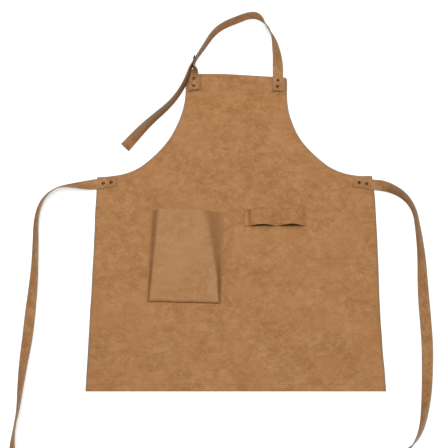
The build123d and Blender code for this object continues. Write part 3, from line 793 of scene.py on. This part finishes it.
# %% Pocket
POCKET_LEFT, POCKET_RIGHT = -196.5, -28.5
POCKET_BOTTOM, POCKET_TOP = -181.0, 30.0
POCKET_CLOTH = 1.4
POCKET_MIDDLE = Vector((-110.5, -75.5))
POCKET_TURN = math.radians(-1.2)     # it was sewn on a little askew
# Height up the pocket, width of the left and of the right slope, and rise of the front.
POCKET_SHAPE = [
    (POCKET_BOTTOM, 7.0, 8.0, 2.8), (-120.0, 12.0, 13.0, 9.5), (-50.0, 17.0, 30.0, 15.0), (POCKET_TOP, 23.0, 56.0, 20.5)
]


def pocket_shape(y):
    for (y_a, *a), (y_b, *b) in zip(POCKET_SHAPE, POCKET_SHAPE[1:]):
        if y <= y_b:
            share = (y - y_a) / (y_b - y_a)
            return [p + (q - p) * share for p, q in zip(a, b)]
    return list(POCKET_SHAPE[-1][1:])


def pocket_height(x, y):
    """Height of the front over its seam, and the tone of its two flanks."""
    left_slope, right_slope, rise = pocket_shape(y)
    on_left, on_right = (x - POCKET_LEFT - 1.5) / left_slope, (POCKET_RIGHT - 1.5 - x) / right_slope
    left, right = smooth(0.0, 1.0, on_left), smooth(0.0, 1.0, on_right)
    foot = smooth(0.0, 4.0, y - POCKET_BOTTOM)
    folds = 1.1 * noise.noise(Vector((x / 26 + 1.0, y / 150, 6.0))) * left * right
    puckers = 1.3 * math.sin((x - y) / 7.5) * smooth(-75.0, -35.0, x) * (1 - smooth(-176.0, -140.0, y)) * right
    low = 1 - smooth(POCKET_BOTTOM, POCKET_BOTTOM + 130.0, y)
    # Painted shade: the steep flanks are darkened, a little more towards the bottom.
    flank = smooth(-0.1, 0.3, on_left) * (1 - smooth(0.55, 1.0, on_left)) * (0.34 + 0.28 * low)
    flank = max(flank, smooth(-0.15, 0.1, on_right) * (1 - smooth(0.5, 0.95, on_right)) * (0.44 + 0.3 * low))
    return (rise * min(left, right) + left * right + folds + puckers) * foot, flank * foot


def sewn_on(x, y):
    """Turns a place on the pocket's pattern to where it is sewn on the hide."""
    offset = Vector((x, y)) - POCKET_MIDDLE
    return (
        POCKET_MIDDLE.x + offset.x * math.cos(POCKET_TURN) - offset.y * math.sin(POCKET_TURN),
        POCKET_MIDDLE.y + offset.x * math.sin(POCKET_TURN) + offset.y * math.cos(POCKET_TURN),
    )


POCKET_COLUMNS, POCKET_ROWS = 84, 64
pocket_rows = []
for r in range(POCKET_ROWS + 1):
    up = r / POCKET_ROWS
    up = smooth(0.0, 1.0, up) * 0.35 + up * 0.65
    y = POCKET_BOTTOM + (POCKET_TOP - POCKET_BOTTOM) * up
    row = []
    for c in range(POCKET_COLUMNS + 1):
        across = c / POCKET_COLUMNS
        across = smooth(0.0, 1.0, across) * 0.3 + across * 0.7
        x = POCKET_LEFT + (POCKET_RIGHT - POCKET_LEFT) * across
        height, flank = pocket_height(x, y)
        place = sewn_on(x, y)
        point = Vector((*place, CLOTH + POCKET_CLOTH + lie(*place) + height))
        row.append((point, y, 0.25 * max(0.0, 1 - (POCKET_TOP - y) / 2.0), flank))
    pocket_rows.append(row)
POCKET_MATERIALS = [pocket_leather, pocket_leather, backing]
pocket = sewn_sheet("pocket_leather_panel", pocket_rows, POCKET_CLOTH, (700.0, 900.0), POCKET_MATERIALS)

# %% [markdown]
# ## The tool loops
# One strip of leather is sewn down at both ends and in the middle, with slack between, so it makes two arches. The
# lower lip is drawn up a little in the middle of each arch, which opens it towards the wearer's hand.

# %% Tool loops
LOOP_BOTTOM, LOOP_TOP = -3.6, 36.0
LOOP_CLOTH = 1.4
LOOP_SEAMS = [(22.0, 30.5), (93.5, 98.5), (158.0, 163.0)]
LOOP_RISES = [11.5, 13.0]
LOOP_STEPS = 22
LIP_DRAW = 1.6
GROOVE_X = 31.5            # the left seam is drawn in along this line
LOOP_THREADS = (27.0, 96.0, 158.5)
LOOP_SHADES = [(33.0, 0.8), (96.0, 0.2), (157.5, 0.45)]   # place of each seam, and how much shade is painted beside it


def loop_profile():
    """Across the strip: x, height over the hide, and how far up its arch a point is, from 0 to 1."""
    profile = []
    for i, (low, high) in enumerate(LOOP_SEAMS):
        profile += [(low + (high - low) * k / 4, 0.0, 0.0) for k in range(5)]
        if i < len(LOOP_RISES):
            start, end = high, LOOP_SEAMS[i + 1][0]
            for k in range(1, LOOP_STEPS):
                share = k / LOOP_STEPS
                arch = math.sin(math.pi * share)
                profile.append((start + (end - start) * share, LOOP_RISES[i] * arch, arch))
    return profile


profile = loop_profile()
LOOP_ROWS = 14
loop_rows = []
for r in range(LOOP_ROWS + 1):
    up = r / LOOP_ROWS
    row = []
    for x, height, arch in profile:
        y = LOOP_BOTTOM + (LOOP_TOP - LOOP_BOTTOM) * up
        y += LIP_DRAW * arch * (1 - up) ** 2
        rise = height * (1.12 - 0.62 * up)
        groove = 0.5 * math.exp(-((x - GROOVE_X) / 1.2) ** 2)
        point = Vector((x, y, CLOTH + LOOP_CLOTH + lie(x, y) + rise - groove))
        # Painted shade along the seams, where the strip dips down to the hide; more towards its top edge.
        dark = sum(t * math.exp(-((x - c) / 3.6) ** 2) for c, t in LOOP_SHADES) * (0.4 + 0.6 * up)
        row.append((point, y, 0.2 * max(0.0, 1 - (LOOP_TOP - y) / 1.6), dark))
    loop_rows.append(row)
LOOP_MATERIALS = [body_leather, body_leather, loop_lining]
tool_loops = sewn_sheet("tool_loop_leather", loop_rows, LOOP_CLOTH, (1500.0, 1700.0), LOOP_MATERIALS)

# %% [markdown]
# ## Stitches
# A seam is hundreds of equal stitches along a line: work for Geometry Nodes. The tree resamples a curve at the
# stitch pitch, puts one small thread bead on each point, turned along the seam, and ends in real geometry with its
# material set. Each seam is a curve that follows the faces it is sewn through.

# %% Stitch tree
def new_tree(name, sockets, kinds, links):
    """A Geometry Nodes tree that ends in real geometry with its material set, and the ids of its named inputs.
    Nodes are (label, type, settings, values), and links are (node, output, node, input)."""
    tree = bpy.data.node_groups.new(name, "GeometryNodeTree")
    for way in ("INPUT", "OUTPUT"):
        tree.interface.new_socket(name="Geometry", in_out=way, socket_type="NodeSocketGeometry")
    ids = {}
    for label, kind in sockets:
        ids[label] = tree.interface.new_socket(name=label, in_out="INPUT", socket_type=kind).identifier
    made = {"start": tree.nodes.new("NodeGroupInput"), "end": tree.nodes.new("NodeGroupOutput")}
    for label, kind, settings, values in kinds + LAST_NODES:
        made[label] = tree.nodes.new(kind)
        for key, value in settings.items():
            setattr(made[label], key, value)
        for key, value in values.items():
            made[label].inputs[key].default_value = value
    for source, output, target, entry in links + LAST_LINKS:
        tree.links.new(made[source].outputs[output], made[target].inputs[entry])
    return tree, ids


LAST_NODES = [
    ("lay", "GeometryNodeInstanceOnPoints", {}, {}),
    ("real", "GeometryNodeRealizeInstances", {}, {}),
    ("dress", "GeometryNodeSetMaterial", {}, {}),
]
LAST_LINKS = [
    ("lay", "Instances", "real", "Geometry"),
    ("real", "Geometry", "dress", "Geometry"),
    ("dress", "Geometry", "end", "Geometry"),
]
STITCHES, STITCH_IDS = new_tree(
    "stitches",
    [("Pitch", "NodeSocketFloat"), ("Stitch", "NodeSocketVector"), ("Thread", "NodeSocketMaterial")],
    [
        ("resample", "GeometryNodeResampleCurve", {"mode": "LENGTH"}, {}),
        ("tangent", "GeometryNodeInputTangent", {}, {}),
        ("turn", "FunctionNodeAlignRotationToVector", {"axis": "X"}, {}),
        ("bead", "GeometryNodeMeshUVSphere", {}, {"Segments": 6, "Rings": 4, "Radius": 0.5}),
        ("shape", "GeometryNodeTransform", {}, {}),
    ],
    [
        ("start", "Geometry", "resample", "Curve"),
        ("start", "Pitch", "resample", "Length"),
        ("resample", "Curve", "lay", "Points"),
        ("tangent", 0, "turn", "Vector"),
        ("turn", 0, "lay", "Rotation"),
        ("bead", "Mesh", "shape", "Geometry"),
        ("start", "Stitch", "shape", "Scale"),
        ("shape", "Geometry", "lay", "Instance"),
        ("start", "Thread", "dress", "Material"),
    ],
)


def grow(holder, tree, ids, values, name):
    """Runs a tree on an object and returns what grew as a plain mesh object."""
    modifier = holder.modifiers.new("grow", "NODES")
    modifier.node_group = tree
    for label, value in values.items():
        modifier[ids[label]] = value
    scene.collection.objects.link(holder)
    bpy.context.view_layer.update()
    depsgraph = bpy.context.evaluated_depsgraph_get()
    mesh = bpy.data.meshes.new_from_object(holder.evaluated_get(depsgraph))
    bpy.data.objects.remove(holder)
    mesh.polygons.foreach_set("use_smooth", [True] * len(mesh.polygons))
    made = bpy.data.objects.new(name, mesh)
    scene.collection.objects.link(made)
    print(name, "has", len(mesh.polygons), "faces")
    return made


STITCH_PITCH = 3.6 * MM
STITCH_SIZE = (2.6 * MM, 0.6 * MM, 0.4 * MM)


def seam(name, lines):
    """Stitches along lines of points in millimetres."""
    curve = bpy.data.curves.new(name, "CURVE")
    curve.dimensions = "3D"
    for line in lines:
        spline = curve.splines.new("POLY")
        spline.points.add(len(line) - 1)
        for point, place in zip(spline.points, line):
            point.co = (*(Vector(place) * MM), 1.0)
    holder = bpy.data.objects.new(name, curve)
    values = {"Pitch": STITCH_PITCH, "Stitch": STITCH_SIZE, "Thread": thread_finish}
    return grow(holder, STITCHES, STITCH_IDS, values, name)


# %% [markdown]
# ## The seams
# Hem seams run a little inside the folded edge, edge seams follow the armholes and sides 5 mm in, the pocket is sewn
# along both sides and the bottom, and the tool strip at its three seams.

# %% Seams
THREAD_LIFT = 0.1


def on_panel(x, y):
    return *hand_cut(x, y), panel_face(y) + lie(x, y) + THREAD_LIFT


def level_line(x_low, x_high, y):
    count = round((x_high - x_low) / 8.0)
    return [on_panel(x_low + (x_high - x_low) * i / count, y) for i in range(count + 1)]


HEM_SEAM_Y = BOTTOM_HEM - HALF_HEIGHT - 1.8
BIB_SEAM_Y = HALF_HEIGHT - BIB_HEM + 1.8
bottom_hem_seam = seam("bottom_hem_thread", [level_line(-HALF_WIDTH, HALF_WIDTH, HEM_SEAM_Y)])
bib_hem_seam = seam("bib_hem_thread", [level_line(-83.0, 88.0, BIB_SEAM_Y)])
EDGE_INSET = 5.0
edge_seams = {}
for side, sign in (("left", -1), ("right", 1)):
    armhole_run = []
    for i in range(2, 41):
        t = 0.82 * i / 40
        here, ahead = armhole_point(t), armhole_point(t + 0.01)
        way = (ahead - here).normalized()
        spot = here + Vector((way.y, -way.x)) * EDGE_INSET
        armhole_run.append(on_panel(sign * spot.x, spot.y))
    side_run = [
        on_panel(sign * (skirt_half(y) - EDGE_INSET), y)
        for y in (WAIST_Y - 34.0 - 15.0 * i for i in range(28))
    ]
    edge_seams[side] = seam(f"{side}_edge_thread", [armhole_run, side_run])


SEAM_IN = 1.0
pocket_run = [(POCKET_LEFT + SEAM_IN, POCKET_TOP - 4.0 - 8.0 * i) for i in range(26)]
pocket_run += [(POCKET_LEFT + SEAM_IN + 8.15 * i, POCKET_BOTTOM + SEAM_IN) for i in range(21)]
pocket_run += [(POCKET_RIGHT - SEAM_IN, POCKET_BOTTOM + 4.0 + 8.0 * i) for i in range(26)]
pocket_places = [sewn_on(*place) for place in pocket_run]
pocket_line = [(x, y, CLOTH + POCKET_CLOTH + lie(x, y) + THREAD_LIFT) for x, y in pocket_places]
pocket_seam = seam("pocket_thread", [pocket_line])
loop_lines = [[(x, y, CLOTH + LOOP_CLOTH + lie(x, y) + 0.05) for y in range(0, 36, 5)] for x in LOOP_THREADS]
loop_seam = seam("tool_loop_thread", loop_lines)

# %% [markdown]
# ## Rivets
# Eight tubular rivets hold the strap ends. On the front each shows a low dome with a dimple, on the back a flat
# washer. Both are small turned shapes, repeated at known points, so one tree places a given shape on every point.

# %% Rivets
def turned(name, outline, segments=20):
    """A shape turned round the Z axis from an outline of (radius, height), closed at both ends."""
    vertices, faces = [], []
    for radius, height in outline:
        if radius == 0.0:
            vertices.append(Vector((0, 0, height)))
            continue
        for s in range(segments):
            angle = 2 * math.pi * s / segments
            vertices.append(Vector((radius * math.cos(angle), radius * math.sin(angle), height)))
    rings = len(outline) - 2
    for s in range(segments):
        t = (s + 1) % segments
        faces.append((0, 1 + t, 1 + s))
        for r in range(rings - 1):
            low, high = 1 + r * segments, 1 + (r + 1) * segments
            faces.append((low + s, low + t, high + t, high + s))
        faces.append((1 + (rings - 1) * segments + s, 1 + (rings - 1) * segments + t, len(vertices) - 1))
    mesh = bpy.data.meshes.new(name)
    mesh.from_pydata([tuple(v * MM) for v in vertices], [], faces)
    made = bpy.data.objects.new(name, mesh)
    outward(made)
    return made


PLACED, PLACED_IDS = new_tree(
    "placed",
    [("Shape", "NodeSocketObject"), ("Metal", "NodeSocketMaterial")],
    [("shape", "GeometryNodeObjectInfo", {}, {})],
    [
        ("start", "Geometry", "lay", "Points"),
        ("start", "Shape", "shape", "Object"),
        ("shape", "Geometry", "lay", "Instance"),
        ("start", "Metal", "dress", "Material"),
    ],
)
CAP = [(0, -0.3), (3.6, -0.3), (4.0, 0.05), (3.95, 0.5), (3.55, 1.15)]
CAP += [(2.9, 1.65), (2.2, 1.85), (1.6, 1.6), (0.9, 0.9), (0, 0.7)]
WASHER = [(0, -0.06), (3.7, -0.06), (4.0, 0.1), (4.0, 0.55), (1.7, 0.62), (0, 0.62)]
STRAP_ON_CLOTH = CLOTH + STRAP_THICKNESS
RIVETS = {
    "neck": ([(104.0, 359.5), (102.3, 343.5)], BIB_FACE + STRAP_THICKNESS),
    "tab": ([(-98.0, 364.0), (-97.8, 345.0)], BIB_FACE + 2 * TAB_PLY),
    "left_tie": ([(-305.0, 99.8), (-287.0, 102.6)], STRAP_ON_CLOTH),
    "right_tie": ([(305.0, 98.6), (287.5, 101.5)], STRAP_ON_CLOTH),
}
cap_shape, washer_shape = turned("cap", CAP), turned("washer", WASHER)
for shape in (cap_shape, washer_shape):
    scene.collection.objects.link(shape)


def rivets(name, shape, places):
    mesh = bpy.data.meshes.new(name)
    mesh.from_pydata([tuple(Vector(p) * MM) for p in places], [], [])
    holder = bpy.data.objects.new(name, mesh)
    return grow(holder, PLACED, PLACED_IDS, {"Shape": shape, "Metal": antique_brass}, name)


rivet_sets = {}
for key, (centres, top) in RIVETS.items():
    caps = rivets(f"{key}_rivet_domes", cap_shape, [(x, y, top) for x, y in centres])
    washers = rivets(f"{key}_rivet_washers", washer_shape, [(x, y, 0.0) for x, y in centres])
    rivet_sets[key] = caps, washers
for shape in (cap_shape, washer_shape):
    bpy.data.objects.remove(shape)

# %% [markdown]
# ## The buckle
# The buckle's frame and prong already have their true shape in the frame, so they only get their dark nickel.

# %% Buckle metal
for name in ("buckle_frame", "buckle_prong"):
    nodes[name].data.materials.clear()
    nodes[name].data.materials.append(dark_nickel)

# %% [markdown]
# ## Which piece moves with which part
# Everything sewn or riveted to the hide rides with it. The ties and the neck strap are set down where they lie, and
# the frame's pieces that they replace are hidden.

# %% Bodies, sheets and straps
def dress(made, replaced):
    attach(made, "root")
    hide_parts(replaced)


for made, slot, node in (
    (body_panel, "leather", "body_panel"),
    (pocket, "leather", "pocket_panel"),
    (tool_loops, "leather", "tool_loop_strip"),
    (buckle_tab, "strap_leather", "buckle_tab"),
    (bottom_hem_seam, "thread", "bottom_hem_stitching"),
    (bib_hem_seam, "thread", "bib_hem_stitching"),
    (pocket_seam, "thread", "pocket_stitching"),
    (loop_seam, "thread", "tool_loop_stitching"),
):
    dress(made, node)
for side, made in edge_seams.items():
    dress(made, f"{side}_edge_stitching")
for key, (caps, washers) in rivet_sets.items():
    dress(caps, f"{key}_rivet_caps")
    dress(washers, f"{key}_rivet_posts")

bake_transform(left_tie)
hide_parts("left_tie_end", "left_tie")
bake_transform(right_tie)
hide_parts("right_tie_end", "right_tie")
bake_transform(neck_strap)
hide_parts("neck_strap_end", "neck_strap", "strap_tail")
